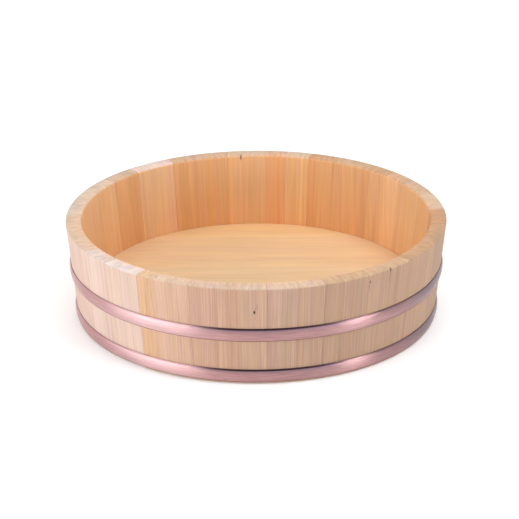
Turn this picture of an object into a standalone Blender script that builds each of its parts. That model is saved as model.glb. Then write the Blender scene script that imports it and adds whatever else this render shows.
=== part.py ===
"""A sushi rice tub: a low coopered tub of softwood staves round a plank floor, with two copper hoops.

Each stave is tapered and its edges are bevelled to planes through the tub's axis, so that the ring closes
on itself. Bamboo pins align the edges, a groove near the foot (the croze) takes the rim of the floor, and
the hoops, crowned in section, hold the ring together by its lean. Nothing on the tub moves.

Metres, +Z up. The origin is on the ground under the middle of the tub. Angles are measured from the
front, which is -Y, and grow towards +X.
"""

from math import ceil, cos, pi, radians, sin, sqrt, tan

import bmesh
import bpy
from mathutils import Matrix, Vector

# Tub
RIM_RADIUS = 0.180
TUB_HEIGHT = 0.095
WALL_LEAN = radians(5.4)
WALL_THICKNESS = 0.0150
RIM_OUTER_ROUND = 0.0016
RIM_INNER_ROUND = 0.0026
FOOT_ROUND = 0.0010

# Staves in turn round the tub from the first joint: width at the rim and shade of the wood.
# The widths are shared out so that the ring closes.
STAVES = (
    (0.0520, "pale"),
    (0.0440, "plain"),
    (0.0500, "plain"),
    (0.0480, "plain"),
    (0.0460, "warm"),
    (0.0425, "warm"),
    (0.0450, "pale"),
    (0.0440, "warm"),
    (0.0475, "plain"),
    (0.0475, "plain"),
    (0.0295, "warm"),
    (0.0270, "pale"),
    (0.0655, "warm"),
    (0.0640, "plain"),
    (0.0475, "pale"),
    (0.0380, "warm"),
    (0.0545, "plain"),
    (0.0515, "pale"),
    (0.0410, "plain"),
    (0.0510, "pale"),
    (0.0340, "pale"),
    (0.0400, "pale"),
    (0.0525, "warm"),
    (0.0690, "plain"),
)
FIRST_JOINT = radians(2.9)

# Floor: a disc of planks, listed from the front to the back, with their grain along X
FLOOR_HEIGHT = 0.0092
FLOOR_THICKNESS = 0.0130
FLOOR_EDGE_CHAMFER = 0.0015
CROZE_DEPTH = 0.005
FLOOR_PLANK_WIDTHS = (0.127, 0.078, 0.079, 0.0415)

# Hoops: copper strip with a crowned section, lapped over its own start and brazed
HOOP_WIDTH = 0.0127
HOOP_SHEET = 0.0007
HOOP_CROWN = 0.0012
HOOP_LAP = 0.014
HOOP_LAP_RAMP = 0.030
UPPER_HOOP_HEIGHT = 0.0493
LOWER_HOOP_HEIGHT = 0.0082
HOOP_SEAM = radians(187.0)
BRAZE_BITE = 0.0002
BRAZE_SETBACK = 0.0010

# Bamboo pins, whittled to a blunt point at both ends
PIN_DIAMETER = 0.004
PIN_POINT = 0.003
PIN_TIP_SHARE = 0.4
STAVE_PIN_LENGTH = 0.016
STAVE_PIN_HEIGHT = 0.062
FLOOR_PIN_LENGTH = 0.022
FLOOR_PIN_SPREAD = 0.42

# Clearances
JOINT_GAP = 0.0003
CROZE_GAP = 0.0003
HOOP_GAP = 0.0003
PIN_GAP = 0.0003

# Faceting
STAVE_FACET = radians(3.4)
HOOP_FACET = radians(4.0)
FLOOR_SIDES = 96
PIN_SIDES = 8
ROUND_STEPS = 3
CROWN_STEPS = 5
SMOOTH_ANGLE = radians(28.0)

# Colour (linear RGB), roughness and metallic value of each material
FINISHES = {
    "pale": ((0.72, 0.50, 0.36), 0.62, 0.0),
    "plain": ((0.62, 0.38, 0.23), 0.60, 0.0),
    "warm": ((0.58, 0.31, 0.16), 0.60, 0.0),
    "floor": ((0.80, 0.50, 0.28), 0.58, 0.0),
    "bamboo": ((0.62, 0.47, 0.24), 0.50, 0.0),
    "copper": ((0.72, 0.33, 0.27), 0.32, 1.0),
}


def outer_radius(height):
    """Outside of the wall at a height."""
    return RIM_RADIUS - (TUB_HEIGHT - height) * tan(WALL_LEAN)


def inner_radius(height):
    """Inside of the wall at a height."""
    return outer_radius(height) - WALL_THICKNESS


def floor_radius(height):
    """Edge of the floor disc, which stands in the croze, at a height."""
    return inner_radius(height) + CROZE_DEPTH - CROZE_GAP


def around(radius, angle, height=0.0):
    """The point at a radius, an angle from the front and a height."""
    return Vector((radius * sin(angle), -radius * cos(angle), height))


def rounded_outline(corners):
    """Points of a closed outline. Each corner is (x, y, radius), and a radius above zero rounds it."""
    points = []
    for index, (x, y, radius) in enumerate(corners):
        corner = Vector((x, y))
        before = (Vector(corners[index - 1][:2]) - corner).normalized()
        after = (Vector(corners[(index + 1) % len(corners)][:2]) - corner).normalized()
        if radius <= 0:
            points.append(corner)
            continue
        half = before.angle(after) / 2
        centre = corner + (before + after).normalized() * (radius / sin(half))
        start = corner + before * (radius / tan(half)) - centre
        end = corner + after * (radius / tan(half)) - centre
        turn = start.angle_signed(end)
        for step in range(ROUND_STEPS + 1):
            points.append(centre + Matrix.Rotation(-turn * step / ROUND_STEPS, 2) @ start)
    return points


def make_material(name):
    """A plain Principled material in one of the tub's finishes."""
    colour, roughness, metallic = FINISHES[name]
    material = bpy.data.materials.new(name)
    material.use_nodes = True
    shader = material.node_tree.nodes["Principled BSDF"]
    shader.inputs["Base Color"].default_value = (*colour, 1.0)
    shader.inputs["Roughness"].default_value = roughness
    shader.inputs["Metallic"].default_value = metallic
    material.diffuse_color = (*colour, 1.0)
    return material


def add_object(name, mesh, material=None):
    """Links a mesh to the scene as a named object."""
    made = bpy.data.objects.new(name, mesh)
    bpy.context.scene.collection.objects.link(made)
    if material and not mesh.materials:
        mesh.materials.append(material)
    return made


def finish_mesh(bm, name):
    """Turns a bmesh into a mesh with outward faces, smooth but for its sharp edges."""
    bmesh.ops.recalc_face_normals(bm, faces=bm.faces)
    mesh = bpy.data.meshes.new(name)
    bm.to_mesh(mesh)
    bm.free()
    mesh.shade_smooth()
    mesh.set_sharp_from_angle(angle=SMOOTH_ANGLE)
    return mesh


def loft(rings):
    """A solid through rings of points, each with as many points as the next, capped at both ends."""
    bm = bmesh.new()
    rings = [[bm.verts.new(point) for point in ring] for ring in rings]
    bm.faces.new(rings[0])
    bm.faces.new(rings[-1])
    for near, far in zip(rings, rings[1:]):
        for index in range(len(near)):
            following = (index + 1) % len(near)
            bm.faces.new((near[index], near[following], far[following], far[index]))
    return bm


def turned(profile, sides):
    """A solid turned about Z from (radius, height) points, with a flat face at each end."""
    angles = [2 * pi * side / sides for side in range(sides)]
    return loft([[around(radius, angle, height) for angle in angles] for radius, height in profile])


def strip_round_tub(section, start, end, facet, lift=None):
    """Sweeps a closed (radius, height) section round the tub's axis, from one angle to another.

    lift, where given, returns how far outwards the section moves at an angle past the start.
    """
    steps = ceil((end - start) / facet)
    rings = []
    for step in range(steps + 1):
        turned_by = (end - start) * step / steps
        out = lift(turned_by) if lift else 0.0
        rings.append([around(r + out, start + turned_by, z) for r, z in section])
    return loft(rings)


def joint_angles():
    """Angle of each joint between staves, the first repeated a full turn on."""
    whole = sum(width for width, _ in STAVES)
    angles = [FIRST_JOINT]
    for width, _ in STAVES:
        angles.append(angles[-1] + 2 * pi * width / whole)
    return angles


def stave_section():
    """Section of a stave: rounded rim and foot, and the croze cut into its inner face."""
    croze_top = FLOOR_HEIGHT + FLOOR_THICKNESS + CROZE_GAP
    croze_foot = FLOOR_HEIGHT - CROZE_GAP
    return rounded_outline(
        (
            (outer_radius(0.0), 0.0, FOOT_ROUND),
            (outer_radius(TUB_HEIGHT), TUB_HEIGHT, RIM_OUTER_ROUND),
            (inner_radius(TUB_HEIGHT), TUB_HEIGHT, RIM_INNER_ROUND),
            (inner_radius(croze_top), croze_top, 0),
            (inner_radius(croze_top) + CROZE_DEPTH, croze_top, 0),
            (inner_radius(croze_foot) + CROZE_DEPTH, croze_foot, 0),
            (inner_radius(croze_foot), croze_foot, 0),
            (inner_radius(0.0), 0.0, FOOT_ROUND),
        )
    )


def pin_mesh(name, length, material):
    """A round pin along Z, centred, tapered at both ends."""
    radius = PIN_DIAMETER / 2
    rings = (
        (radius * PIN_TIP_SHARE, -length / 2),
        (radius, -length / 2 + PIN_POINT),
        (radius, length / 2 - PIN_POINT),
        (radius * PIN_TIP_SHARE, length / 2),
    )
    mesh = finish_mesh(turned(rings, PIN_SIDES), name)
    mesh.materials.append(material)
    return mesh


def pin_hole_mesh(name, length):
    """What a pin's two blind holes take out, along Z and centred: the pin with its clearance."""
    radius = PIN_DIAMETER / 2 + PIN_GAP
    half = length / 2 + PIN_GAP
    return finish_mesh(turned(((radius, -half), (radius, half)), PIN_SIDES), name)


def place(made, where, along):
    """Puts an object modelled along Z at a point, with its length along a level direction."""
    made.matrix_world = Matrix.Translation(where) @ along.to_track_quat("Z", "Y").to_matrix().to_4x4()


def cut(made, cutter):
    """Takes a hidden helper's volume out of an object."""
    modifier = made.modifiers.new(cutter.name, "BOOLEAN")
    modifier.operation = "DIFFERENCE"
    modifier.solver = "EXACT"
    modifier.object = cutter


def add_pin_and_hole(name, mesh, hole_mesh, where, along):
    """A pin across a joint, and the hidden helper that bores its holes, which is returned."""
    place(add_object(name, mesh), where, along)
    hole = add_object(name + "_hole", hole_mesh)
    hole.hide_render = True
    hole.display_type = "WIRE"
    place(hole, where, along)
    return hole


def make_staves(materials):
    """The ring of staves, each pinned to the next at mid thickness."""
    angles = joint_angles()
    half_gap = JOINT_GAP / 2 / inner_radius(0.0)
    section = stave_section()
    staves = []
    for number, (start, end, (_, shade)) in enumerate(zip(angles, angles[1:], STAVES), 1):
        name = f"stave_{number:02d}"
        bm = strip_round_tub(section, start + half_gap, end - half_gap, STAVE_FACET)
        staves.append(add_object(name, finish_mesh(bm, name), materials[shade]))
    pin = pin_mesh("stave_pin", STAVE_PIN_LENGTH, materials["bamboo"])
    pin_hole = pin_hole_mesh("stave_pin_hole", STAVE_PIN_LENGTH)
    middle = (outer_radius(STAVE_PIN_HEIGHT) + inner_radius(STAVE_PIN_HEIGHT)) / 2
    for number, angle in enumerate(angles[:-1]):
        along = Vector((cos(angle), sin(angle), 0))
        where = around(middle, angle, STAVE_PIN_HEIGHT)
        hole = add_pin_and_hole(f"stave_pin_{number + 1:02d}", pin, pin_hole, where, along)
        cut(staves[number - 1], hole)
        cut(staves[number], hole)


def plank_edges():
    """Y of each edge between floor planks, front to back, with the disc's own front and back."""
    widest = max(floor_radius(FLOOR_HEIGHT), floor_radius(FLOOR_HEIGHT + FLOOR_THICKNESS))
    share = 2 * widest / sum(FLOOR_PLANK_WIDTHS)
    edges = [-widest]
    for width in FLOOR_PLANK_WIDTHS:
        edges.append(edges[-1] + width * share)
    return edges


def floor_disc():
    """The whole floor, its edge following the wall's lean and chamfered top and bottom."""
    top = FLOOR_HEIGHT + FLOOR_THICKNESS
    chamfer = FLOOR_EDGE_CHAMFER
    rings = (
        (floor_radius(FLOOR_HEIGHT) - chamfer, FLOOR_HEIGHT),
        (floor_radius(FLOOR_HEIGHT + chamfer), FLOOR_HEIGHT + chamfer),
        (floor_radius(top - chamfer), top - chamfer),
        (floor_radius(top) - chamfer, top),
    )
    return turned(rings, FLOOR_SIDES)


def trim(bm, y, keep_back):
    """Cuts a solid along the upright plane at y, and closes the cut."""
    everything = bm.verts[:] + bm.edges[:] + bm.faces[:]
    cut_plane = bmesh.ops.bisect_plane(
        bm,
        geom=everything,
        plane_co=(0, y, 0),
        plane_no=(0, 1, 0),
        clear_inner=keep_back,
        clear_outer=not keep_back,
    )
    edges = [item for item in cut_plane["geom_cut"] if isinstance(item, bmesh.types.BMEdge)]
    bmesh.ops.edgeloop_fill(bm, edges=edges)


def make_floor(materials):
    """The floor planks, pinned edge to edge."""
    edges = plank_edges()
    planks = []
    for number, (front, back) in enumerate(zip(edges, edges[1:]), 1):
        name = f"floor_plank_{number}"
        bm = floor_disc()
        if number > 1:
            trim(bm, front + JOINT_GAP / 2, keep_back=True)
        if number < len(FLOOR_PLANK_WIDTHS):
            trim(bm, back - JOINT_GAP / 2, keep_back=False)
        planks.append(add_object(name, finish_mesh(bm, name), materials["floor"]))
    pin = pin_mesh("floor_pin", FLOOR_PIN_LENGTH, materials["bamboo"])
    pin_hole = pin_hole_mesh("floor_pin_hole", FLOOR_PIN_LENGTH)
    height = FLOOR_HEIGHT + FLOOR_THICKNESS / 2
    number = 0
    for index, y in enumerate(edges[1:-1]):
        half_chord = sqrt(floor_radius(height) ** 2 - y**2)
        for side in (-1, 1):
            number += 1
            where = Vector((side * FLOOR_PIN_SPREAD * half_chord, y, height))
            hole = add_pin_and_hole(f"floor_pin_{number}", pin, pin_hole, where, Vector((0, 1, 0)))
            cut(planks[index], hole)
            cut(planks[index + 1], hole)


def crowned_section(height, inner, outer, width):
    """Section of a crowned strip lying on the wall, between two distances out from it."""
    along = Vector((sin(WALL_LEAN), cos(WALL_LEAN)))
    out = Vector((cos(WALL_LEAN), -sin(WALL_LEAN)))
    middle = Vector((outer_radius(height), height))

    def face(distance, step):
        across = 2 * step / CROWN_STEPS - 1
        rise = HOOP_CROWN * (1 - (across * width / HOOP_WIDTH) ** 2)
        return middle + along * (across * width / 2) + out * (distance + rise)

    steps = range(CROWN_STEPS + 1)
    return [face(outer, step) for step in steps] + [face(inner, step) for step in reversed(steps)]


def make_hoop(name, height, material):
    """A hoop: the strip rises over its own start at the seam, and braze fills the lap."""
    radius = outer_radius(height)
    lap = HOOP_LAP / radius
    ramp = HOOP_LAP_RAMP / radius
    layer = HOOP_SHEET + HOOP_GAP

    def lift(turned_by):
        rise = min(max((turned_by - (2 * pi - ramp)) / ramp, 0.0), 1.0)
        return layer * rise * rise * (3 - 2 * rise)

    section = crowned_section(height, HOOP_GAP, HOOP_GAP + HOOP_SHEET, HOOP_WIDTH)
    strip = strip_round_tub(section, HOOP_SEAM, HOOP_SEAM + 2 * pi + lap, HOOP_FACET, lift)
    hoop = add_object(name, finish_mesh(strip, name), material)

    set_back = BRAZE_SETBACK / radius
    low = HOOP_GAP + HOOP_SHEET - BRAZE_BITE
    high = HOOP_GAP + layer + BRAZE_BITE
    filling = crowned_section(height, low, high, HOOP_WIDTH - 2 * BRAZE_SETBACK)
    braze_mesh = finish_mesh(
        strip_round_tub(filling, HOOP_SEAM + set_back, HOOP_SEAM + lap - set_back, HOOP_FACET),
        name + "_braze",
    )
    braze = add_object(name + "_braze", braze_mesh)
    braze.hide_render = True
    braze.display_type = "WIRE"
    join = hoop.modifiers.new("braze", "BOOLEAN")
    join.operation = "UNION"
    join.solver = "EXACT"
    join.object = braze


def main():
    for made in list(bpy.data.objects):
        bpy.data.objects.remove(made, do_unlink=True)
    materials = {name: make_material(name) for name in FINISHES}
    make_staves(materials)
    make_floor(materials)
    make_hoop("upper_hoop", UPPER_HOOP_HEIGHT, materials["copper"])
    make_hoop("lower_hoop", LOWER_HOOP_HEIGHT, materials["copper"])


main()
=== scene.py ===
"""Looks of a sushi rice tub: straight-grained softwood staves and planks, bamboo pins and copper hoops.

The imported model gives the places. Every stave, plank and hoop is modelled again here with finer rounds and
eased edges, and stands for the node of its own name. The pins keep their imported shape. Metres, +Z up.
Angles are measured from the front, which is -Y, and grow towards +X.
"""

from math import atan2, cos, degrees, pi, radians, sin, tan
from typing import NamedTuple

import bmesh
import bpy
from bpy.props import FloatProperty, FloatVectorProperty, PointerProperty
from bpy.types import Operator, Panel, PropertyGroup
from mathutils import Matrix, Vector


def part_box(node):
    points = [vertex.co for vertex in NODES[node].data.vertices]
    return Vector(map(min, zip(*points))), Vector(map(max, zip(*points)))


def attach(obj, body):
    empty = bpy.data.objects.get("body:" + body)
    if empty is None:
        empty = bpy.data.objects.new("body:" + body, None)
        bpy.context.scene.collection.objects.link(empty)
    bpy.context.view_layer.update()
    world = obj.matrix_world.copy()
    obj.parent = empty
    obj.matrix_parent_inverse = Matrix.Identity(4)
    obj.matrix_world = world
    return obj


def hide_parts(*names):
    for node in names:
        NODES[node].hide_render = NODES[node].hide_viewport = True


bl_info = {
    "name": "Sushi rice tub",
    "version": (1, 0, 0),
    "blender": (4, 5, 0),
    "location": "View3D > Sidebar > Tub",
    "description": "Models and finishes the wood and copper of a coopered tub",
    "category": "Object",
}

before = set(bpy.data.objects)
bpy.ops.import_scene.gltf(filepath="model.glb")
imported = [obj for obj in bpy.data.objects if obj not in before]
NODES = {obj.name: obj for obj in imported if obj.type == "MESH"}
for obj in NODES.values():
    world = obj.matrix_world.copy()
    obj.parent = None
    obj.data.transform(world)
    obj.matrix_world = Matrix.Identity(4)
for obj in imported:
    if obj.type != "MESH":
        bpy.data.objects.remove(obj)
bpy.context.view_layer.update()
STAVES = sorted(name for name in NODES if name.startswith("stave_") and "pin" not in name)
PLANKS = sorted(name for name in NODES if name.startswith("floor_plank"))
PINS = sorted(name for name in NODES if "pin" in name)
HOOPS = ("upper_hoop", "lower_hoop")

FLOOR_LOW = min(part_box(name)[0].z for name in PLANKS)
FLOOR_HIGH = max(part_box(name)[1].z for name in PLANKS)

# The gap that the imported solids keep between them, and how near a point has to lie to count as on a plane
CAD_GAP = 0.0003
ON_PLANE = 1e-5

# How finely round shapes are stepped: degrees of a stave's arc for each step, and numbers of steps
STAVE_ARC = 1.2
LEAST_STAVE_STEPS = 8
ROUND_STEPS = 5
FLOOR_SIDES = 192
PIN_HOLE_SIDES = 16
STRIP_ROWS = 10
STRIP_EDGE_STEPS = 3
HOOP_STEPS = 236
CLIMB_STEPS = 10
LAP_STEPS = 4

# The wood's edges sharper than the first angle are eased. Edges sharper than the others are shaded sharp.
EASE_OVER = radians(50)
WOOD_CREASE = radians(32)
COPPER_CREASE = radians(40)

FLOOR_CHAMFER = 0.0012

# Drying checks that opened the rim: stave, angle in degrees, whether it is on the inner edge, depth and
# length. Each has this width at the rim and this share of it at its foot.
RIM_CHECKS = (
    (3, 41.3, False, 0.0022, 0.0050),
    (13, 185.3, True, 0.0030, 0.0042),
)
CHECK_WIDTH = 0.0006
CHECK_FOOT = 0.15

# The braze bites into the strips, stays back from the lap's edges, and spreads grey on both sides
BRAZE_BITE = 0.0002
BRAZE_SET_BACK = 0.001
BRAZE_SPREAD = 0.0022


class Board(NamedTuple):
    """The wood of one stave or plank.

    bark, heart and ends name its tones on the face towards the bark, on the face towards the heart and on
    the end grain. pith is where its rings centre, across the board and into it, and pitch is their spacing,
    in metres. Each streak runs from one place across the board to another, with its kind and strength. Each
    mark is a knot or crack: where it is, how far it reaches across, into and along the board, and its
    strength. slope is how far the grain runs across for each metre along, and contrast is how much its
    figure shows.
    """

    bark: str
    heart: str
    ends: str
    pith: tuple
    pitch: float
    streaks: tuple = ()
    marks: tuple = ()
    slope: float = 0.0
    contrast: float = 0.6


# Streaks and marks of the staves are placed by their angle round the tub in degrees. A mark's angle is
# followed by its depth in the wall and its height.
STAVE_WOOD = {
    1: Board("biscuit", "apricot", "bisque", (0.07, 0.05), 0.0014, (
        (2.9, 4.9, "pink", 0.7), (11.7, 12.2, "dark", 0.5), (12.7, 13.7, "ochre", 0.5),
        (15.6, 18.9, "dark", 0.3), (19, 19.5, "pale", 0.5)), contrast=1.0),
    2: Board("sand", "apricot", "tan", (-0.08, 0.04), 0.0013, (
        (24.4, 25.4, "dark", 0.2), (27.9, 28.6, "red", 0.5)), contrast=1.0),
    3: Board("sand", "apricot", "tan", (0.09, 0.05), 0.0015, (
        (33.5, 34.4, "pale", 0.5), (44, 45, "dark", 0.2)), (
        ((33.8, 0, 0.0878), (0.0009, 0.002, 0.0021), 0.75),
        ((33.7, 0, 0.0822), (0.0004, 0.002, 0.006), 0.5),
        ((41.2, 0, 0.094), (0.0009, 0.003, 0.0042), 1.0),
        ((41.1, 0, 0.0872), (0.0004, 0.002, 0.008), 0.6)), contrast=1.0),
    4: Board("sand", "apricot", "russet", (-0.06, 0.07), 0.0014, ((49.4, 50.9, "dark", 0.3),), contrast=1.0),
    # The greying streaks of staves 5, 6 and 24 are painted shade on the outer wall's far right and front
    5: Board("sand", "apricot", "russet", (0.05, 0.06), 0.0015, (
        (66, 76, "painted_grey_shade", 0.6), (70.9, 72.9, "ochre", 0.4)), contrast=1.0),
    6: Board("sand", "amber", "ember", (0.1, 0.03), 0.0013, (
        (74, 92, "painted_grey_shade", 1.0), (83.2, 84.2, "red", 0.6), (87.3, 88.8, "red", 0.6)), contrast=1.0),
    7: Board("honey", "apricot", "oat", (-0.05, 0.06), 0.0015, ((99.4, 102.4, "ochre", 0.4),)),
    8: Board("biscuit", "melon", "buff", (0.08, 0.04), 0.0013, (
        (115.4, 116.4, "ochre", 0.6), (118.4, 120.4, "dark", 0.25))),
    9: Board("honey", "apricot", "russet", (-0.07, 0.05), 0.0014, (
        (120.9, 128.4, "pale", 0.9), (130.4, 132.4, "dark", 0.25)), slope=-0.12),
    10: Board("fawn", "amber", "clay", (0.06, 0.05), 0.0013, (
        (136.5, 139.5, "dark", 0.2), (145.6, 147.6, "pale", 0.3)), slope=-0.08),
    11: Board("honey", "amber", "russet", (0.1, 0.03), 0.0011, ((157.8, 161.3, "red", 0.5),)),
    12: Board("fawn", "saffron", "oat", (-0.08, 0.03), 0.0015, (
        (162.8, 163.9, "pale", 0.4), (168.7, 169.7, "pale", 0.5))),
    13: Board("honey", "apricot", "oat", (0.09, 0.04), 0.0013, (
        (169.6, 176.3, "red", 0.6), (171, 172, "red", 0.4), (188.1, 189.6, "ochre", 0.5)), (
        ((185.3, 0.0145, 0.093), (0.0008, 0.0045, 0.0042), 0.95),)),
    14: Board("biscuit", "amber", "buff", (-0.08, 0.05), 0.0014, (
        (195.5, 197.5, "ochre", 0.5), (201.6, 202.6, "dark", 0.3), (204.6, 208.7, "dark", 0.25))),
    15: Board("rose", "salmon", "shell", (0.07, 0.05), 0.0015, (
        (210.7, 214.8, "pink", 0.5), (222.9, 225, "dark", 0.2))),
    16: Board("fawn", "amber", "oat", (-0.06, 0.04), 0.0013, ((227, 231.1, "dark", 0.2),)),
    17: Board("honey", "melon", "putty", (0.08, 0.05), 0.0014, ((245.3, 247.3, "ochre", 0.3),)),
    18: Board("straw", "melon", "putty", (-0.07, 0.06), 0.0015),
    19: Board("rose", "apricot", "bisque", (0.06, 0.05), 0.0014, contrast=0.8),
    20: Board("rose", "apricot", "bisque", (-0.08, 0.04), 0.0014, (
        (287.6, 290.5, "dark", 0.15),), contrast=0.8),
    21: Board("blossom", "apricot", "shell", (0.06, 0.06), 0.0014, (
        (308.7, 309.7, "dark", 0.3), (310.7, 311.5, "dark", 0.3)), contrast=0.8),
    22: Board("cream", "apricot", "ivory", (-0.09, 0.05), 0.0017, ((317, 317.9, "pink", 0.4),), contrast=0.8),
    23: Board("fawn", "apricot", "bisque", (0.08, 0.05), 0.0013, (
        (324.2, 329.7, "ochre", 0.7), (330.1, 333.6, "pale", 0.3), (341.4, 343.4, "pale", 0.4)), (
        ((330.2, 0.004, 0.095), (0.001, 0.0014, 0.001), 0.8),), contrast=1.0),
    24: Board("honey", "apricot", "bisque", (-0.07, 0.04), 0.0014, (
        (340.4, 349.6, "pink", 0.5), (351.2, 355.1, "dark", 0.3), (355, 362.4, "painted_grey_shade", 0.5)), (
        ((359.4, 0, 0.0719), (0.0012, 0.002, 0.0024), 1.0),
        ((359.75, 0, 0.0746), (0.0004, 0.002, 0.0022), 0.45),
        ((0.12, 0, 0.0776), (0.0004, 0.002, 0.0045), 0.45)), contrast=1.0),
}

# Streaks of the planks are placed in metres from the tub's middle. The planks' ends don't show.
PLANK_WOOD = {
    1: Board("barley", "barley", "barley", (0.08, 0.04), 0.0024, (
        (-0.075, -0.06, "ochre", 0.3),), contrast=0.55),
    2: Board("wheat", "wheat", "wheat", (-0.09, 0.04), 0.0026, (
        (0.012, 0.015, "dark", 0.2), (-0.035, -0.015, "ochre", 0.35), (0.016, 0.03, "pink", 0.2))),
    3: Board("peach", "peach", "peach", (0.08, 0.05), 0.0024, (
        (0.062, 0.068, "pink", 0.4), (0.082, 0.09, "pink", 0.3))),
    4: Board("corn", "corn", "corn", (-0.08, 0.04), 0.0022),
}

# What a streak does to the wood that it crosses: it multiplies the wood's colour by this
STREAKS = {
    "dark": (0.80, 0.70, 0.62),
    "pale": (1.14, 1.18, 1.24),
    # Painted shade, not a streak of the wood: it greys the outer wall at the tub's far right and at its front
    "painted_grey_shade": (0.86, 0.90, 0.93),
    "ochre": (1.06, 1.00, 0.78),
    "pink": (1.00, 0.95, 1.04),
    "red": (1.02, 0.84, 0.74),
}

# The wood's noises: their cycles per metre across the board, into it and along it, detail and roughness.
# wander bends the rings and the heart's edge, fibre and strand are the fine lines, cloud and blush the broad
# shading and colour, and speckle is the pores of the end grain.
GRAINS = {
    "wander": ((14, 14, 4), 1.0, 0.5),
    "fibre": ((900, 900, 22), 2.0, 0.6),
    "strand": ((620, 620, 7), 1.0, 0.5),
    "cloud": ((70, 70, 8), 2.0, 0.5),
    "blush": ((170, 90, 16), 2.0, 0.5),
    "speckle": ((380, 90, 0), 2.0, 0.6),
}

# What multiplies the wood's colour in its two blushes, and in its end grain next to each face
YELLOW_BLUSH = (1.0, 0.99, 0.92)
PINK_BLUSH = (1.0, 0.965, 0.985)
ENDS_BY_BARK = (0.935, 0.975, 1.01)
# The warmth of the end grain next to the heart face is a painted warm light on the rim's inner edge
ENDS_BY_HEART = (1.05, 1.0, 0.935)

# How far in from the rim and the foot end grain shows: whole to the first, gone by the second
END_GRAIN = (0.0006, 0.0018)

# Painted light on the heart side: shares by which it is lightened, and darkened again between two heights
HEART_PAINTED_LIGHT = 0.12
HEART_LIGHT_FADE = 0.20
LIGHT_FADE_HEIGHTS = (0.022, 0.092)

# Steps of the seeds that keep the boards' noises apart
STAVE_SEED = 3.7
FIRST_PLANK_SEED = 90
PLANK_SEED = 5.3

# Softboxes: place, width and height. Their power is in StageLook.
SOFTBOXES = {
    "key": ((-1.57, -1.02, 0.66), 1.6, 0.7),
    "low": ((-1.68, -0.82, 0.24), 2.1, 0.3),
    "strip": ((1.55, -0.96, 0.24), 0.5, 0.3),
    "fill": ((0.80, -0.50, 1.50), 0.8, 0.8),
    "top": ((-0.2, 0.1, 1.8), 1.6, 1.6),
    "back": ((0.3, 1.9, 1.1), 1.0, 1.0),
}
LIGHT_AIM = (0, 0, 0.05)

CAMERA_AT = (0, -1.648, 0.735)
CAMERA_AIM = (0.0031, 0, 0.0474)
CAMERA_ROLL = radians(-0.24)
SENSOR_WIDTH = 36.0

GROUND_SIZE = 8.0
GROUND_HEIGHT = -0.0002
GROUND_COLOUR = (0.85, 0.85, 0.85)
WHITE = (1.0, 1.0, 1.0)


def number_property(**settings):
    """A maker of number properties with these settings."""

    def make(name, description, default):
        return FloatProperty(name=name, description=description, default=default, **settings)

    return make


plain_property = number_property()
length_property = number_property(unit="LENGTH", precision=5)
angle_property = number_property(unit="ROTATION")
power_property = number_property(unit="POWER")
strength_property = number_property(min=0, max=1)


def colour_property(name, description, default):
    return FloatVectorProperty(
        name=name, description=description, subtype="COLOR", size=3, min=0, max=1, default=default
    )


def tone_property(name, default):
    """A tone of the wood."""
    return colour_property(name, f"Colour of the {name.lower()} wood", default)


class TubShape(PropertyGroup):
    """Sizes of the wood, as the real tub has them."""

    rim_radius: length_property(
        "Rim radius", "Outside radius at the rim", max(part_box(name)[1].x for name in STAVES)
    )
    height: length_property("Height", "From the foot to the rim", max(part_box(name)[1].z for name in STAVES))
    lean: angle_property("Lean", "Outward lean of the wall", radians(5.4))
    wall: length_property("Wall", "Thickness of the staves", 0.0150)
    rim_outer_round: length_property("Rim outer round", "Radius of the rim's outer edge", 0.0016)
    rim_inner_round: length_property("Rim inner round", "Radius of the rim's inner edge", 0.0026)
    foot_round: length_property("Foot round", "Radius of the foot's edges", 0.0010)
    croze: length_property("Croze", "Depth of the groove that takes the floor", 0.005)
    joint_gap: length_property("Joint gap", "Width of the glued joints between staves", 0.00006)
    eased_edge: length_property("Eased edge", "Bevel along the joints", 0.00025)


class HoopShape(PropertyGroup):
    """Sizes of the copper strip."""

    sheet: length_property("Sheet", "Thickness of the strip", 0.0007)
    crown: length_property("Crown", "Rise of the strip's middle over its edges", 0.0012)
    edge_round: length_property("Edge round", "Radius of the strip's edges", 0.0002)
    gap: length_property("Gap", "Between the strip and the wall", 0.00012)
    seam: angle_property("Seam", "Where the strip starts", radians(187))
    lap: length_property("Lap", "How far the strip passes over its own start", 0.014)
    ramp: length_property("Ramp", "Length over which it climbs on to its start", 0.030)


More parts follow.
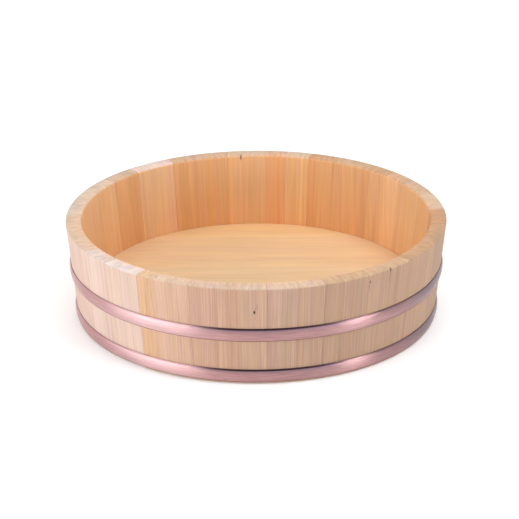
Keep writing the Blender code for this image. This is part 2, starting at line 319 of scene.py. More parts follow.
class WoodLook(PropertyGroup):
    """Tones of the wood and the strength of its grain."""

    ivory: tone_property("Ivory", (0.77, 0.64, 0.60))
    shell: tone_property("Shell", (0.71, 0.57, 0.51))
    putty: tone_property("Putty", (0.64, 0.50, 0.40))
    bisque: tone_property("Bisque", (0.68, 0.485, 0.355))
    oat: tone_property("Oat", (0.60, 0.435, 0.32))
    buff: tone_property("Buff", (0.57, 0.39, 0.27))
    tan: tone_property("Tan", (0.58, 0.38, 0.235))
    clay: tone_property("Clay", (0.54, 0.36, 0.23))
    russet: tone_property("Russet", (0.53, 0.32, 0.185))
    ember: tone_property("Ember", (0.60, 0.335, 0.178))
    # Cream and blossom are paler partly by their own tone and partly as painted light of the tub's lit left
    # side
    cream: tone_property("Cream", (0.715, 0.54, 0.453))
    rose: tone_property("Rose", (0.68, 0.505, 0.432))
    blossom: tone_property("Blossom", (0.72, 0.553, 0.485))
    straw: tone_property("Straw", (0.76, 0.51, 0.33))
    fawn: tone_property("Fawn", (0.66, 0.435, 0.315))
    honey: tone_property("Honey", (0.595, 0.382, 0.274))
    # Sand is darker partly by its own tone and partly as painted shade of the tub's right side, where its
    # staves stand
    sand: tone_property("Sand", (0.46, 0.304, 0.217))
    biscuit: tone_property("Biscuit", (0.515, 0.345, 0.257))
    apricot: tone_property("Apricot", (0.77, 0.455, 0.235))
    amber: tone_property("Amber", (0.75, 0.42, 0.20))
    peach: tone_property("Peach", (0.76, 0.515, 0.295))
    wheat: tone_property("Wheat", (0.74, 0.52, 0.31))
    barley: tone_property("Barley", (0.69, 0.475, 0.275))
    corn: tone_property("Corn", (0.78, 0.515, 0.265))
    saffron: tone_property("Saffron", (0.79, 0.475, 0.225))
    salmon: tone_property("Salmon", (0.80, 0.51, 0.285))
    melon: tone_property("Melon", (0.80, 0.485, 0.26))
    umber: tone_property("Umber", (0.36, 0.17, 0.09))
    knot: tone_property("Knot", (0.045, 0.022, 0.014))
    pin_pale: colour_property("Pin pale", "Colour of the pins' bamboo", (0.66, 0.50, 0.26))
    pin_dark: colour_property("Pin dark", "Colour of the bamboo's fibre bundles", (0.42, 0.28, 0.12))
    late_wood: strength_property("Late wood", "How dark the rings are", 0.45)
    fibre: strength_property("Fibre", "Strength of the fine streaks", 0.30)
    cloud: strength_property("Cloud", "Strength of the broad shading", 0.20)


class CopperLook(PropertyGroup):
    """Tones of the copper, and of the highlight, reflections and shadows painted on it."""

    bright: colour_property("Bright", "Colour of the clean copper", (0.605, 0.34, 0.325))
    stained: colour_property("Stained", "Colour of its stains", (0.53, 0.30, 0.303))
    # Painted highlight: the paler colour painted on the strip's front left, where the left softboxes shine
    painted_highlight: colour_property("Rubbed", "Colour where it is rubbed bright", (0.77, 0.60, 0.64))
    # Painted reflection: the dim grey painted on the right of the strip, where it reflects a dark room
    painted_dim_reflection: colour_property("Dull", "Colour where it has gone dull", (0.25, 0.188, 0.21))
    # Painted reflection: the dark lavender painted on the strip's upper part in front, where it reflects the
    # dark room
    painted_front_reflection: colour_property("Handled", "Colour of its upper part where hands hold it", (0.31, 0.22, 0.30))
    # Painted shadow: the dark colour painted along the strip's top edge, where the gap to the wall is in
    # shade
    painted_edge_shadow: colour_property("Tarnish", "Colour of its top edge", (0.05, 0.028, 0.035))
    # Painted shadow: the brown painted along the strip's lower edge, where it casts shade on the wall
    foot: colour_property("Foot", "Colour of its lower edge", (0.24, 0.12, 0.10))
    solder: colour_property("Solder", "Colour of the braze at the lap", (0.42, 0.38, 0.33))


class StageLook(PropertyGroup):
    """Camera and light."""

    lens: plain_property("Lens", "Focal length in mm", 129.5)
    key: power_property("Key", "Power of the left softbox", 12.5)
    low: power_property("Low", "Power of the low left softbox", 8.5)
    strip: power_property("Strip", "Power of the low right softbox", 8.6)
    fill: power_property("Fill", "Power of the high right softbox", 11.0)
    back: power_property("Back", "Power of the softbox behind", 5.0)
    top: power_property("Top", "Power of the overhead softbox", 14.2)
    world: plain_property("World", "Strength of the even light", 0.40)
    room: plain_property("Room", "Brightness of the room that metal reflects", 0.20)
    glow: plain_property("Glow", "Lift of the floor to white where it shows", 0.25)


def maths(operation, reflected=False):
    """A method that adds a Math node on one or two values, the other one first for a reflected operator."""

    def method(self, other=None):
        values = (other, self) if reflected else (self, other)
        return self.finish.node("ShaderNodeMath", {"operation": operation}, *values)

    return method


class Wire:
    """A value, vector or colour in a node tree, so that shader sums read as plain expressions."""

    def __init__(self, finish, socket):
        self.finish = finish
        self.socket = socket

    __add__ = maths("ADD")
    __radd__ = maths("ADD", reflected=True)
    __sub__ = maths("SUBTRACT")
    __rsub__ = maths("SUBTRACT", reflected=True)
    __mul__ = maths("MULTIPLY")
    __rmul__ = maths("MULTIPLY", reflected=True)
    __truediv__ = maths("DIVIDE")
    __rtruediv__ = maths("DIVIDE", reflected=True)
    __pow__ = maths("POWER")
    __rpow__ = maths("POWER", reflected=True)
    fraction = maths("FRACT")
    floor = maths("FLOOR")
    root = maths("SQRT")
    size = maths("ABSOLUTE")


class Finish:
    """The nodes of a material or world being written, with the few helpers that the finishes share."""

    def __init__(self, owner):
        owner.use_nodes = True
        self.owner = owner
        self.tree = owner.node_tree

    def node(self, kind, settings, *values, out=0):
        """Adds a node: its settings first, then the values or links of its sockets in order."""
        made = self.tree.nodes.new(kind)
        for key, value in settings.items():
            setattr(made, key, value)
        for socket, value in zip(made.inputs, values):
            self.feed(socket, value)
        return Wire(self, made.outputs[out])

    def feed(self, socket, value):
        """Links a wire to a socket, or sets the socket's own value, which for a colour lacks its alpha."""
        if isinstance(value, Wire):
            self.tree.links.new(value.socket, socket)
        elif value is not None:
            socket.default_value = (*value, 1.0) if socket.type == "RGBA" else value

    def feed_node(self, name, **values):
        """Feeds sockets of a node that the tree starts with, named in lower case with underscores."""
        sockets = {socket.name.lower().replace(" ", "_"): socket for socket in self.tree.nodes[name].inputs}
        for key, value in values.items():
            self.feed(sockets[key], value)

    def place(self):
        """The three coordinates of a point on the piece."""
        return self.parts(self.node("ShaderNodeTexCoord", {}, out="Object"))

    def rays(self):
        """Masks of what the camera sees, what is reflected and what is seen through something clear."""
        path = self.node("ShaderNodeLightPath", {}).socket.node
        return [Wire(self, path.outputs[f"Is {kind} Ray"]) for kind in ("Camera", "Glossy", "Transmission")]

    def parts(self, vector):
        """A vector's three numbers."""
        split = self.node("ShaderNodeSeparateXYZ", {}, vector).socket.node
        return [Wire(self, output) for output in split.outputs]

    def vector(self, x, y, z):
        return self.node("ShaderNodeCombineXYZ", {}, x, y, z)

    def angle(self, x, y):
        """Angle round the tub from the front, in radians."""
        return self.node("ShaderNodeMath", {"operation": "ARCTAN2"}, x, y * -1)

    def noise(self, vector, detail, roughness=0.5):
        """Smooth noise from 0 to 1, with one cycle for each unit of the vector."""
        return self.node("ShaderNodeTexNoise", {}, vector, None, 1.0, detail, roughness)

    def ramp(self, value, low, high, start=0.0, end=1.0, kind="SMOOTHSTEP"):
        """A smooth or LINEAR step: start below low, end above high."""
        return self.node("ShaderNodeMapRange", {"interpolation_type": kind}, value, low, high, start, end)

    def band(self, value, low, high, soft):
        """1 between low and high, 0 outside, with soft sides."""
        rise = self.ramp(value, low - soft, low + soft)
        fall = self.ramp(value, high - soft, high + soft, 1.0, 0.0)
        return rise * fall

    def mix(self, factor, first, second, kind="MIX"):
        """Blends two colours, which a Mix node takes after six other sockets."""
        settings = {"data_type": "RGBA", "blend_type": kind}
        return self.node("ShaderNodeMix", settings, factor, *[None] * 5, first, second, out=2)

    def tint(self, colour, by, mask=1.0):
        """Multiplies a colour by another one, as far as mask says."""
        return self.mix(mask, colour, by, "MULTIPLY")

    def shade(self, colour, value):
        """Multiplies a colour by a value."""
        return self.tint(colour, self.node("ShaderNodeCombineColor", {}, value, value, value))

    def bump(self, height, distance):
        return self.node("ShaderNodeBump", {}, 1.0, distance, None, height)


def surface_finish(name):
    """A new material whose surface is still to be set."""
    return Finish(bpy.data.materials.new(name))


def late_wood(finish, board, point, wander, seed):
    """The dark part of the growth rings, which circle the board's pith.

    Each ring darkens slowly and ends sharply. Some are wider than others, and some darker.
    """
    off_axis = point[0] - board.pith[0]
    off_depth = point[1] - board.pith[1]
    distance = (off_axis * off_axis + off_depth * off_depth).root()
    uneven = finish.noise(finish.vector(distance * 60, seed, 0.0), detail=0.0)
    count = distance / board.pitch + wander * 5 + uneven * 4
    ring = count.fraction()
    year = finish.node("ShaderNodeTexWhiteNoise", {"noise_dimensions": "1D"}, None, count.floor() + seed)
    return ring**2 * finish.ramp(ring, 0.84, 1.0, 1.0, 0.0) * (0.3 + year * 0.7) * board.contrast


def wood_finish(name, look, board, seed, thick, local, height=None):
    """A straight-grained softwood.

    local turns the piece's coordinates into (across, depth, along) of its board and the measure that the
    board's streaks are written in. A stave has a height, because its end grain shows at both ends, greyer
    outside and warmer inside, the warmth a painted warm light, and because its heart side is painted paler
    near the floor, a painted light against the shade at the inner wall's foot.
    """
    finish = surface_finish(name)
    place, measure = local(finish, *finish.place())
    across, depth, along = place
    point = (across + along * board.slope, depth, along)

    def grain(kind, shift):
        scales, detail, roughness = GRAINS[kind]
        wide, deep, long = (value * scale for value, scale in zip(point, scales))
        return finish.noise(finish.vector(wide, deep, long + shift), detail, roughness)

    wander = grain("wander", seed)
    fibre = grain("fibre", seed)
    strand = grain("strand", -seed)
    cloud = grain("cloud", seed)
    blush = grain("blush", -seed)
    late = late_wood(finish, board, point, wander, seed)
    figure = (fibre * 1.4 + strand * 1.2 - 1.3) * (look.fibre * board.contrast)

    heart = finish.ramp(depth + (wander - 0.5) * 0.006, 0.25 * thick, 0.95 * thick)
    wood = finish.mix(heart, getattr(look, board.bark), getattr(look, board.heart))
    if height:
        middle = height / 2
        whole, gone = END_GRAIN
        end_grain = finish.ramp((along - middle).size(), middle - gone, middle - whole)
        # Painted light: the end grain is painted warmer towards the inside of the tub
        cut = finish.mix(finish.ramp(depth, 0.1 * thick, 0.9 * thick), ENDS_BY_BARK, ENDS_BY_HEART)
        cut = finish.tint(cut, getattr(look, board.ends))
        # Painted light: the inner wall is painted lighter towards its foot, where the lamps leave it in shade
        painted_light_fade = finish.ramp(along, *LIGHT_FADE_HEIGHTS) * heart
        wood = finish.shade(wood, 1 + heart * HEART_PAINTED_LIGHT - painted_light_fade * HEART_LIGHT_FADE)
        wood = finish.mix(end_grain, wood, cut)
        speckle = grain("speckle", seed)
        figure = figure * (1 - end_grain * 0.6) + end_grain * (speckle - 0.5) * 0.65
    wood = finish.tint(wood, YELLOW_BLUSH, finish.ramp(blush, 0.35, 0.65))
    wood = finish.tint(wood, PINK_BLUSH, finish.ramp(blush, 0.65, 0.35))
    wood = finish.mix(late * look.late_wood, wood, look.umber)
    for low, high, kind, strength in board.streaks:
        mask = finish.band(measure, low, high, 0.2 * (high - low))
        wood = finish.tint(wood, STREAKS[kind], mask * (strength * (0.6 + cloud * 0.8)))
    wood = finish.shade(wood, 1 + figure + (cloud - 0.5) * look.cloud)
    for where, reach, strength in board.marks:
        x, y, z = ((value - at) / size for value, at, size in zip(place, where, reach))
        away = (x * x + y * y + z * z).root()
        wood = finish.mix(finish.ramp(away, 0.4, 1.0, strength, 0.0), wood, look.knot)

    finish.feed_node(
        "Principled BSDF",
        base_color=wood,
        roughness=0.66 - late * 0.15,
        specular_ior_level=0.3,
        normal=finish.bump(late + fibre * 0.5, 0.00006),
    )
    return finish.owner


def copper_finish(name, look, low, high, seam_end, braze):
    """Brushed copper strip between two heights.

    Fine scratches run round the tub. The strip has a painted highlight on the front's left, where the left
    softboxes shine, a painted dim reflection on the right, spared where the right softbox shines and weaker
    low down, a painted dark reflection on its upper part in front, a painted shadow along its top edge under
    the gap to the wall, widest in front, and a brown painted shadow along its foot. It is grey with braze at
    the lap.
    Angles are in radians from the front, and heights in metres from the strip's edges.
    """
    finish = surface_finish(name)
    x, y, z = finish.place()
    angle = finish.angle(x, y)
    scratches = finish.noise(finish.vector(x * 40, y * 40, z * 7000), detail=3.0, roughness=0.7)
    brushing = finish.noise(finish.vector(x * 50, y * 50, z * 1100), detail=2.0, roughness=0.6)
    stain = finish.noise(finish.vector(x * 30, y * 30, z * 60), detail=2.0)
    colour = finish.mix(stain, look.bright, look.stained)
    colour = finish.shade(colour, 0.28 + scratches * 0.4 + brushing * 1.0)

    # Painted highlight: the strip is painted paler and whiter on the front's left, where the left softboxes'
    # highlight falls
    painted_highlight = finish.band(angle, -0.85, -0.30, 0.25)
    colour = finish.mix(painted_highlight * 0.32, colour, look.painted_highlight)

    # Painted dim reflection and shade: greyer towards the right, less where the right softbox shines and on
    # the lower part
    painted_dim_reflection = finish.ramp(angle + stain * 0.15, -0.1, 1.2, kind="LINEAR")
    painted_dim_reflection = painted_dim_reflection * finish.ramp(angle, 1.5, 2.6, 1.0, 0.0)
    right_end = finish.ramp(angle, 0.85, 1.2)
    right_shine = finish.band(angle, 0.5, 0.9, 0.12)
    upper_part = finish.ramp(z, low + 0.003, low + 0.008)
    painted_dim_reflection = painted_dim_reflection * (0.75 + right_end * 0.22 - right_shine * 0.22) * (0.75 + upper_part * 0.25)
    colour = finish.mix(painted_dim_reflection, colour, look.painted_dim_reflection)

    in_front = finish.ramp((angle - 0.09).size(), 0.18, 0.48, 1.0, 0.0)
    beside_front = finish.ramp(angle.size(), 0.65, 1.0, 0.35, 0.0)
    top_part = finish.ramp(z, high - 0.0045, high - 0.0012)
    top_edge = finish.ramp(z, high - 0.0019, high - 0.0009)
    painted_foot_shadow = finish.ramp(z, low + 0.0005, low + 0.0013, 1.0, 0.0)
    # Painted reflection: the strip's upper part in front is painted dark, as the dark room in front would
    # show in it
    colour = finish.mix(top_part * in_front * 0.5, colour, look.painted_front_reflection)
    # Painted shadow along the top edge, under the gap to the wall, widest in front as a painted dark
    # reflection
    colour = finish.mix(top_edge * (in_front * 0.6 + beside_front), colour, look.painted_edge_shadow)
    # Painted shadow: a brown line painted along the strip's lower edge
    colour = finish.mix(painted_foot_shadow * 0.7, colour, look.foot)

    from_seam = (angle - (seam_end - 2 * pi)).size() + (stain - 0.5) * braze
    brazed = finish.ramp(from_seam, 0.4 * braze, braze, 0.85, 0.0)
    colour = finish.mix(brazed, colour, look.solder)
    finish.feed_node(
        "Principled BSDF",
        base_color=colour,
        metallic=1.0,
        roughness=0.28 + brushing * 0.18,
        anisotropic=0.92,
        anisotropic_rotation=0.25,
        normal=finish.bump(scratches + brushing * 2, 0.00003),
    )
    return finish.owner


def bamboo_finish(name, look):
    """Split bamboo: pale, with fine dark fibre bundles along each pin."""
    finish = surface_finish(name)
    x, y, z = finish.place()
    bundles = finish.noise(finish.vector(x * 900, y * 900, z * 2600), detail=1.0)
    colour = finish.mix(finish.ramp(bundles, 0.45, 0.7), look.pin_pale, look.pin_dark)
    finish.feed_node(
        "Principled BSDF",
        base_color=colour,
        roughness=0.5 + bundles * 0.1,
        normal=finish.bump(bundles, 0.00004),
    )
    return finish.owner


def deselect():
    """Leaves edit mode, with nothing selected."""
    if bpy.context.object and bpy.context.object.mode != "OBJECT":
        bpy.ops.object.mode_set(mode="OBJECT")
    bpy.ops.object.select_all(action="DESELECT")


def activate(piece):
    """Makes a piece the only one selected."""
    deselect()
    piece.select_set(True)
    bpy.context.view_layer.objects.active = piece


def edit(piece):
    """Opens a piece in edit mode."""
    activate(piece)
    bpy.ops.object.mode_set(mode="EDIT")


def select_all():
    """Selects the whole mesh in edit mode."""
    bpy.ops.mesh.select_all(action="SELECT")


def named(name):
    """Names the primitive that was just added, and puts its place, turn and size into its mesh."""
    piece = bpy.context.object
    piece.name = name
    piece.data.name = name
    bpy.ops.object.transform_apply(location=True, rotation=True, scale=True)
    return piece


def pick(piece, kind, wanted):
    """Selects the vertices, edges or faces of the piece in edit mode whose middle passes a test."""
    bpy.ops.mesh.select_mode(type=kind)
    bpy.ops.mesh.select_all(action="DESELECT")
    bm = bmesh.from_edit_mesh(piece.data)
    elements = {"VERT": bm.verts, "EDGE": bm.edges, "FACE": bm.faces}[kind]
    for element in elements:
        corners = [element] if kind == "VERT" else list(element.verts)
        middle = sum((corner.co for corner in corners), Vector()) / len(corners)
        element.select_set(bool(wanted(middle)))
    bm.select_flush_mode()
    bmesh.update_edit_mesh(piece.data)


def copy_of(template, name):
    """A copy with its own mesh."""
    piece = template.copy()
    piece.data = template.data.copy()
    piece.name = name
    piece.data.name = name
    bpy.context.scene.collection.objects.link(piece)
    return piece


def apply_modifier(piece, kind, **settings):
    """Adds a modifier and applies it."""
    activate(piece)
    modifier = piece.modifiers.new(kind.title(), kind)
    for key, value in settings.items():
        setattr(modifier, key, value)
    bpy.ops.object.modifier_apply(modifier=modifier.name)


def combine(piece, other, operation):
    """Joins another solid to a piece or cuts it out, and removes the other."""
    apply_modifier(piece, "BOOLEAN", object=other, operation=operation, solver="EXACT")
    bpy.data.objects.remove(other)


def turn_into_place(piece, angle):
    """Turns a section that stands beside +X to an angle round the tub, in its mesh."""
    activate(piece)
    piece.rotation_euler.z = angle - pi / 2
    bpy.ops.object.transform_apply(location=False, rotation=True, scale=False)


def turn_outwards(piece):
    """Points the faces of a closed solid outwards, and leaves edit mode."""
    select_all()
    bpy.ops.mesh.normals_make_consistent(inside=False)
    deselect()


def ease_edges(piece, width):
    """Rounds a wooden piece's sharp edges a little."""
    apply_modifier(piece, "BEVEL", width=width, segments=2, limit_method="ANGLE", angle_limit=EASE_OVER)


def stand_in(piece, node, material, crease):
    """Shades a piece, gives it its material and lets it stand for its node."""
    activate(piece)
    bpy.ops.object.shade_smooth_by_angle(angle=crease)
    piece.data.materials.clear()
    piece.data.materials.append(material)
    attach(piece, "root")
    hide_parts(node)


def node_points(name):
    return [vertex.co for vertex in NODES[name].data.vertices]


def stave_span(name):
    """The first and last angle that a stave covers."""
    points = node_points(name)
    middle = sum(points, Vector()) / len(points)
    centre = atan2(middle.x, -middle.y)
    offsets = [(atan2(p.x, -p.y) - centre + pi) % (2 * pi) - pi for p in points]
    return centre + min(offsets), centre + max(offsets)


def bore(piece, node):
    """Bores the blind holes of the pins whose middle lies on the edge of a node's box."""
    low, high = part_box(node)
    margin = 0.002
    for pin in PINS:
        pin_low, pin_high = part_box(pin)
        middle = (pin_low + pin_high) / 2
        if not all(low[i] - margin <= middle[i] <= high[i] + margin for i in range(3)):
            continue
        deselect()
        points = [point - middle for point in node_points(pin)]
        reach = max(point.length for point in points)
        axis = pin_axis(points, reach)
        radius = max((point - axis * point.dot(axis)).length for point in points)
        bpy.ops.mesh.primitive_cylinder_add(
            vertices=PIN_HOLE_SIDES,
            radius=radius + CAD_GAP,
            depth=2 * (reach + CAD_GAP),
            location=middle,
            rotation=axis.to_track_quat("Z", "Y").to_euler(),
        )
        combine(piece, named("pin_cutter"), "DIFFERENCE")


def pin_axis(points, reach):
    """Direction of a pin whose points are given from its middle: the way to the middle of its far end."""
    ends = [point for point in points if point.length > reach - 0.0001]
    far_end = [point for point in ends if point.dot(ends[0]) > 0]
    return (sum(far_end, Vector()) / len(far_end)).normalized()


def upright_plane(name, across, width, middle, height):
    """An upright face beside +X, open in edit mode, as the start of a section."""
    deselect()
    centre = (across, 0, middle)
    bpy.ops.mesh.primitive_plane_add(size=1.0, location=centre, rotation=(pi / 2, 0, 0))
    section = named(name)
    edit(section)
    select_all()
    bpy.ops.transform.resize(value=(width, 1, height), center_override=centre)
    return section


def wall_section(shape):
    """The wall's section with its croze and its rounded rim and foot."""
    rise = shape.height
    slant = tan(shape.lean)
    foot_inside = shape.rim_radius - rise * slant - shape.wall
    section = upright_plane("wall_section", foot_inside + shape.wall / 2, shape.wall, rise / 2, rise)
    pick(section, "VERT", lambda p: p.z > rise / 2)
    bpy.ops.transform.translate(value=(rise * slant, 0, 0))

    def inner(z):
        return foot_inside + z * slant

    croze_low, croze_high = FLOOR_LOW - CAD_GAP, FLOOR_HIGH + shape.joint_gap
    for height in (croze_low, croze_high):
        select_all()
        bpy.ops.mesh.bisect(plane_co=(0, 0, height), plane_no=(0, 0, 1))
    pick(section, "FACE", lambda p: croze_low < p.z < croze_high)
    wall_normal = (cos(shape.lean), 0, -sin(shape.lean))
    bpy.ops.mesh.bisect(plane_co=(inner(croze_low) + shape.croze, 0, croze_low), plane_no=wall_normal)
    pick(section, "FACE", lambda p: croze_low < p.z < croze_high and p.x < inner(p.z) + shape.croze)
    bpy.ops.mesh.delete(type="FACE")

    rounds = (
        (shape.rim_outer_round, lambda p: p.z > rise - ON_PLANE and p.x > inner(rise) + shape.wall / 2),
        (shape.rim_inner_round, lambda p: p.z > rise - ON_PLANE and p.x < inner(rise) + ON_PLANE),
        (shape.foot_round, lambda p: p.z < ON_PLANE),
    )
    for radius, wanted in rounds:
        pick(section, "VERT", wanted)
        bpy.ops.mesh.bevel(affect="VERTICES", offset=radius, segments=ROUND_STEPS)
    deselect()
    return section


def wind(angle, steps):
    """Spins the selected section or end of a strip on round the tub, and leaves the new end selected."""
    bpy.ops.mesh.spin(steps=steps, angle=-angle, center=(0, 0, 0), axis=(0, 0, 1))


def sweep(piece, angle, steps):
    """Winds a section that was turned to its first angle, and closes the solid."""
    edit(piece)
    select_all()
    wind(angle, steps)
    turn_outwards(piece)


class TUB_OT_staves(Operator):
    """Models the ring of staves, each with the grain of its own board"""

    bl_idname = "tub.staves"
    bl_label = "Staves"

    def execute(self, context):
        shape = context.scene.tub_shape
        section = wall_section(shape)
        widen = (CAD_GAP - shape.joint_gap) / 2 / shape.rim_radius
        for number, node in enumerate(STAVES, 1):
            start, end = stave_span(node)
            middle = (start + end) / 2
            start, end = start - widen, end + widen
            piece = copy_of(section, node + "_wood")
            turn_into_place(piece, start)
            sweep(piece, end - start, max(LEAST_STAVE_STEPS, round(degrees(end - start) / STAVE_ARC)))
            bore(piece, node)
            for stave, *check in RIM_CHECKS:
                if stave == number:
                    open_check(piece, shape, *check)
            ease_edges(piece, shape.eased_edge)
            material = stave_finish(node + "_grain", context.scene.tub_wood, number, middle, shape)
            stand_in(piece, node, material, WOOD_CREASE)
        bpy.data.objects.remove(section)
        return {"FINISHED"}


def stave_finish(name, look, number, middle, shape):
    """The wood of one stave, read across its width, into its wall and up its lean."""
    slant = tan(shape.lean)
    outer_foot = shape.rim_radius - shape.height * slant
    board = STAVE_WOOD[number]
    streaks = [
        (from_middle(low, middle), from_middle(high, middle), kind, strength)
        for low, high, kind, strength in board.streaks
    ]
    marks = []
    for (angle, depth, height), reach, strength in board.marks:
        off = radians(from_middle(angle, middle))
        outside = outer_foot + height * slant
        where = (outside - depth) * sin(off), outside - (outside - depth) * cos(off), height
        marks.append((where, reach, strength))

    def local(finish, *here):
        """Turns the point round the tub, as if the stave faced the front."""
        turned = finish.node("ShaderNodeMapping", {}, finish.vector(*here), (0, 0, 0), (0, 0, -middle))
        across, out, up = finish.parts(turned)
        return (across, out + outer_foot + up * slant, up), finish.angle(across, out) * degrees(1)

    board = board._replace(streaks=streaks, marks=marks)
    return wood_finish(name, look, board, number * STAVE_SEED, shape.wall, local, shape.height)


def from_middle(angle, middle):
    """An angle in degrees round the tub, measured from a stave's middle in radians."""
    return (angle - degrees(middle) + 180) % 360 - 180


def open_check(piece, shape, angle, inner_edge, depth, length):
    """Cuts a drying check into the rim: a cleft that narrows downwards."""
    above = 0.001
    angle = radians(angle)
    radius = shape.rim_radius - (shape.wall if inner_edge else 0)
    where = Vector((radius * sin(angle), -radius * cos(angle), shape.height))
    deselect()
    bpy.ops.mesh.primitive_cube_add(
        size=1.0,
        location=where + Vector((0, 0, (above - length) / 2)),
        rotation=(0, 0, angle),
        scale=(CHECK_WIDTH, 2 * depth, length + above),
    )
    cutter = named("check_cutter")
    edit(cutter)
    pick(cutter, "VERT", lambda p: p.z < shape.height - length / 2)
    bpy.ops.transform.resize(
        value=(CHECK_FOOT, CHECK_FOOT, 1), center_override=where - Vector((0, 0, length))
    )
    combine(piece, cutter, "DIFFERENCE")


class TUB_OT_floor(Operator):
    """Models the floor planks"""

    bl_idname = "tub.floor"
    bl_label = "Floor"

    def execute(self, context):
        shape = context.scene.tub_shape
        tight = (CAD_GAP - shape.joint_gap) / 2
        disc = floor_disc(shape)
        for number, node in enumerate(PLANKS, 1):
            front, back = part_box(node)[0].y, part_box(node)[1].y
            piece = copy_of(disc, node + "_wood")
            edit(piece)
            if number > 1:
                saw(front - tight, clear_inner=True)
            if number < len(PLANKS):
                saw(back + tight, clear_outer=True)
            bore(piece, node)
            ease_edges(piece, shape.eased_edge)
            material = plank_finish(node + "_grain", context.scene.tub_wood, number, (front + back) / 2)
            stand_in(piece, node, material, WOOD_CREASE)
        bpy.data.objects.remove(disc)
        return {"FINISHED"}


def floor_disc(shape):
    """The whole floor: a disc that narrows downwards with the wall, with chamfered edges."""
    radius = max(point.xy.length for name in PLANKS for point in node_points(name))
    thick = FLOOR_HIGH - FLOOR_LOW
    middle = (FLOOR_LOW + FLOOR_HIGH) / 2
    deselect()
    bpy.ops.mesh.primitive_cylinder_add(
        vertices=FLOOR_SIDES, radius=radius, depth=thick, location=(0, 0, middle)
    )
    disc = named("floor_disc")
    edit(disc)
    pick(disc, "VERT", lambda p: p.z < middle)
    narrow = 1 - thick * tan(shape.lean) / radius
    bpy.ops.transform.resize(value=(narrow, narrow, 1), center_override=(0, 0, FLOOR_LOW))
    pick(disc, "EDGE", lambda p: abs(p.z - middle) > thick / 2 - ON_PLANE)
    bpy.ops.mesh.bevel(affect="EDGES", offset=FLOOR_CHAMFER, segments=1)
    deselect()
    return disc


def saw(y, **side):
    """Saws the floor in edit mode along a line across the tub, and drops one side."""
    select_all()
    bpy.ops.mesh.bisect(plane_co=(0, y, 0), plane_no=(0, 1, 0), use_fill=True, **side)


def plank_finish(name, look, number, middle):
    """The wood of one floor plank, whose grain runs along X."""

    def local(finish, x, y, z):
        return (y - middle, FLOOR_HIGH - z, x), y

    seed = FIRST_PLANK_SEED + number * PLANK_SEED
    return wood_finish(name, look, PLANK_WOOD[number], seed, FLOOR_HIGH - FLOOR_LOW, local)


class TUB_OT_hoops(Operator):
    """Models the two copper hoops, each lapped over its own start and brazed"""

    bl_idname = "tub.hoops"
    bl_label = "Hoops"

    def execute(self, context):
        shape = context.scene.tub_shape
        strip = context.scene.tub_hoop
        for node in HOOPS:
            low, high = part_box(node)
            height = (low.z + high.z) / 2
            width = (high.z - low.z) / cos(shape.lean)
            radius = shape.rim_radius - (shape.height - height) * tan(shape.lean)
            wall = (radius, height)
            lap, ramp, set_back = (length / radius for length in (strip.lap, strip.ramp, BRAZE_SET_BACK))

            hoop = strip_section(node + "_copper", shape, strip, wall, width, strip.gap, strip.sheet)
            turn_into_place(hoop, strip.seam)
            edit(hoop)
            select_all()
            wind(2 * pi - ramp, HOOP_STEPS)
            climb_over(strip.seam - ramp, ramp, strip.sheet + strip.gap)
            wind(lap, LAP_STEPS)
            turn_outwards(hoop)

            braze = strip_section(
                node + "_braze", shape, strip, wall, width - 2 * BRAZE_SET_BACK,
                strip.gap + strip.sheet - BRAZE_BITE, strip.gap + 2 * BRAZE_BITE,
            )
            turn_into_place(braze, strip.seam + set_back)
            sweep(braze, lap - 2 * set_back, LAP_STEPS)
            combine(hoop, braze, "UNION")

            look, spread = context.scene.tub_copper, BRAZE_SPREAD / radius
            material = copper_finish(node + "_brushed", look, low.z, high.z, strip.seam + lap, spread)
            stand_in(hoop, node, material, COPPER_CREASE)
        return {"FINISHED"}


def climb_over(start, angle, rise):
    """Winds the strip on while it climbs smoothly by rise."""
    reached = 0.0
    for step in range(1, CLIMB_STEPS + 1):
        wind(angle / CLIMB_STEPS, 1)
        share = step / CLIMB_STEPS
        level = rise * share * share * (3 - 2 * share)
        here = start + angle * share
        bpy.ops.transform.translate(
            value=(sin(here) * (level - reached), -cos(here) * (level - reached), 0)
        )
        reached = level


def strip_section(name, shape, strip, wall, width, inside, sheet):
    """Section of a crowned strip of sheet. wall is the wall's radius and height, and inside the gap to it."""
    radius, height = wall
    section = upright_plane(name, radius + inside + sheet / 2, sheet, height, width)
    for row in range(1, STRIP_ROWS):
        select_all()
        level = height + width * (row / STRIP_ROWS - 0.5)
        bpy.ops.mesh.bisect(plane_co=(0, 0, level), plane_no=(0, 0, 1))
    for row in range(STRIP_ROWS + 1):
        off = width * (row / STRIP_ROWS - 0.5)
        share = 2 * row / STRIP_ROWS - 1
        pick(section, "VERT", lambda p: abs(p.z - height - off) < width / STRIP_ROWS / 3)
        bpy.ops.transform.translate(value=(strip.crown * (1 - share * share) + off * tan(shape.lean), 0, 0))
    pick(section, "VERT", lambda p: abs(p.z - height) > width / 2 - ON_PLANE)
    bpy.ops.mesh.bevel(affect="VERTICES", offset=strip.edge_round, segments=STRIP_EDGE_STEPS)
    deselect()
    return section


class TUB_OT_pins(Operator):
    """Finishes the bamboo pins"""

    bl_idname = "tub.pins"
    bl_label = "Pins"

    def execute(self, context):
        material = bamboo_finish("split_bamboo", context.scene.tub_wood)
        for node in PINS:
            NODES[node].data.materials.clear()
            NODES[node].data.materials.append(material)
        return {"FINISHED"}


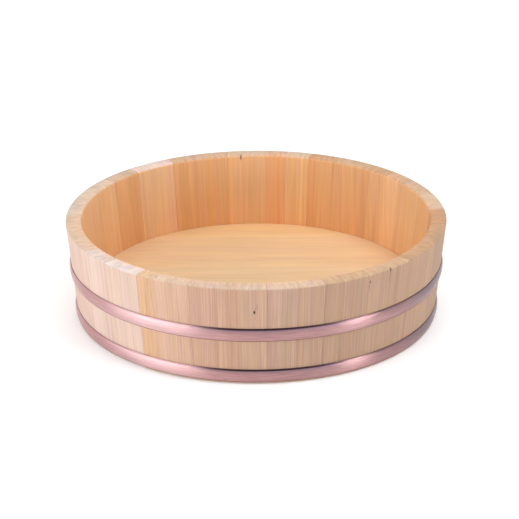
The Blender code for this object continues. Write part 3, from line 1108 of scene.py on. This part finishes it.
class TUB_OT_stage(Operator):
    """Sets the pale floor, the softboxes and the camera"""

    bl_idname = "tub.stage"
    bl_label = "Stage"

    def execute(self, context):
        look = context.scene.tub_stage
        deselect()
        bpy.ops.mesh.primitive_plane_add(size=GROUND_SIZE, location=(0, 0, GROUND_HEIGHT))
        floor = named("studio_floor")
        floor.data.materials.append(studio_white("studio_white", look.glow))
        for name, (where, width, height) in SOFTBOXES.items():
            softbox(name + "_light", where, width, height, getattr(look, name))
        even_light(look.world, look.room)
        add_camera(look.lens)
        context.scene.view_settings.view_transform = "Standard"
        return {"FINISHED"}


def studio_white(name, glow):
    """White floor. Where it shows it is lifted by glow, so that only the tub's soft shadow stays on it."""
    finish = surface_finish(name)
    finish.feed_node("Principled BSDF", base_color=GROUND_COLOUR, roughness=0.9)
    floor = Wire(finish, finish.tree.nodes["Principled BSDF"].outputs[0])
    x, y, _ = finish.place()
    far = finish.ramp((x * x + y * y).root(), 0.5, 1.3)
    camera, glossy, clear = finish.rays()
    shows = finish.node("ShaderNodeMath", {"operation": "ADD", "use_clamp": True}, camera + glossy, clear)
    lift = finish.node("ShaderNodeEmission", {}, WHITE, glow)
    lifted = finish.node("ShaderNodeAddShader", {}, floor, lift)
    white = finish.node("ShaderNodeEmission", {}, WHITE, 1.0)
    shown = finish.node("ShaderNodeMixShader", {}, far, lifted, white)
    finish.feed_node("Material Output", surface=finish.node("ShaderNodeMixShader", {}, shows, floor, shown))
    return finish.owner


def softbox(name, where, width, height, power):
    """An area light aimed at the tub."""
    deselect()
    bpy.ops.object.light_add(type="AREA", location=where)
    lamp = bpy.context.object
    lamp.name = name
    lamp.data.shape = "RECTANGLE"
    lamp.data.size = width
    lamp.data.size_y = height
    lamp.data.energy = power
    lamp.rotation_euler = (Vector(LIGHT_AIM) - Vector(where)).to_track_quat("-Z", "Y").to_euler()


def even_light(strength, room):
    """Even light from all round, white where it shows.

    In the metal it looks white behind the tub, nearly white on the left and as dim as the room elsewhere.
    """
    world = bpy.data.worlds.new("studio")
    bpy.context.scene.world = world
    finish = Finish(world)
    camera, glossy, clear = finish.rays()
    rightwards, towards_back, _ = finish.place()
    left = finish.ramp(rightwards, -0.85, -0.35, 1.0, 0.0)
    reflected = finish.mix(left, (room * 0.85, room * 0.8, room * 1.2), (0.85, 0.85, 0.85))
    reflected = finish.mix(finish.ramp(towards_back, 0.5, 0.85), reflected, WHITE)
    light = finish.mix(glossy, (strength, strength, strength), reflected)
    shows = finish.node("ShaderNodeMath", {"operation": "ADD", "use_clamp": True}, camera, clear)
    finish.feed_node("Background", color=finish.mix(shows, light, WHITE), strength=1.0)


def add_camera(lens):
    """The photograph's view: from the front, about 22 degrees down, a long way off."""
    where = Vector(CAMERA_AT)
    bpy.ops.object.camera_add(location=where)
    camera = bpy.context.object
    camera.name = "camera"
    camera.data.lens = lens
    camera.data.sensor_width = SENSOR_WIDTH
    aimed = (Vector(CAMERA_AIM) - where).to_track_quat("-Z", "Y").to_matrix()
    camera.rotation_euler = (aimed @ Matrix.Rotation(CAMERA_ROLL, 3, "Z")).to_euler()
    bpy.context.scene.camera = camera


class TUB_PT_panel(Panel):
    """Lists the steps, and the sizes and looks that they use"""

    bl_idname = "TUB_PT_panel"
    bl_label = "Sushi rice tub"
    bl_space_type = "VIEW_3D"
    bl_region_type = "UI"
    bl_category = "Tub"

    def draw(self, context):
        for step in STEPS:
            self.layout.operator(step.bl_idname)
        for group in GROUPS:
            values = getattr(context.scene, group)
            for key in values.bl_rna.properties.keys():
                if key not in ("rna_type", "name"):
                    self.layout.prop(values, key)


STEPS = (TUB_OT_staves, TUB_OT_floor, TUB_OT_hoops, TUB_OT_pins, TUB_OT_stage)
GROUPS = {
    "tub_shape": TubShape,
    "tub_hoop": HoopShape,
    "tub_wood": WoodLook,
    "tub_copper": CopperLook,
    "tub_stage": StageLook,
}


def register():
    for kind in (*GROUPS.values(), *STEPS, TUB_PT_panel):
        bpy.utils.register_class(kind)
    for name, kind in GROUPS.items():
        setattr(bpy.types.Scene, name, PointerProperty(type=kind))


def unregister():
    for name in GROUPS:
        delattr(bpy.types.Scene, name)
    for kind in (TUB_PT_panel, *reversed(STEPS), *GROUPS.values()):
        bpy.utils.unregister_class(kind)


def main():
    register()
    bpy.ops.tub.staves()
    bpy.ops.tub.floor()
    bpy.ops.tub.hoops()
    bpy.ops.tub.pins()
    bpy.ops.tub.stage()


if __name__ == "__main__":
    main()
